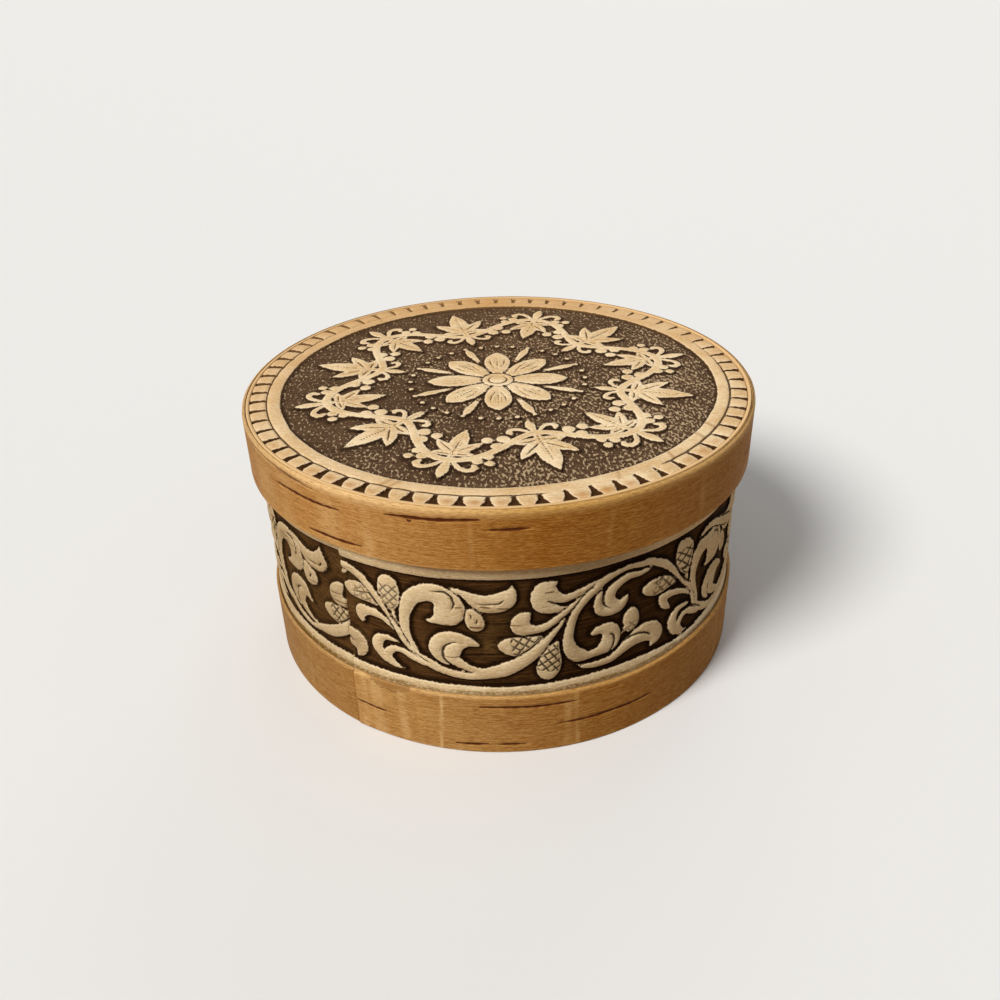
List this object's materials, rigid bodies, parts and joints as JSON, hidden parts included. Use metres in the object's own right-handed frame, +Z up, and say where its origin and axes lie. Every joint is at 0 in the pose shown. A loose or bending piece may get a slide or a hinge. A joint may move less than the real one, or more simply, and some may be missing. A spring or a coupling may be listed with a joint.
{
  "type": "trinket box",
  "caption": "Round bark trinket box with an embossed scroll frieze, a plain lower band, a wooden base and a lift-off lid with a carved rosette and notched rim.",
  "frame": {"origin": "on the table under the middle of the box, in the plane of the underside of the base", "axes": "+Z up along the axis of the box and the lid, -Y towards the front, where the picture was taken from, +X to the right"},
  "size_m": [0.106, 0.106, 0.0558],
  "materials": {
    "bark_plain": "waxed birch bark, golden tan, with fine dark dashes along the grain",
    "bark_embossed": "embossed birch bark, cream relief on a ground stained dark brown",
    "bark_lining": "inner face of birch bark, smooth and matt",
    "pale_wood": "pale fine-grained wood, sanded"
  },
  "bodies": {
    "box": {"base_disc": "pale_wood", "base_lining": "bark_lining", "inner_sleeve": "bark_lining", "embossed_wall": "bark_embossed", "lower_band": "bark_plain"},
    "lid": {"lid_lining": "bark_lining", "lid_core": "pale_wood", "lid_face": "bark_embossed", "lid_inner_hoop": "bark_lining", "lid_band": "bark_plain"}
  },
  "joints": [
    {"name": "lid_lift", "type": "slide", "parent": "box", "child": "lid", "axis": [0, 0, 1], "range_m": [0, 0.06]}
  ]
}
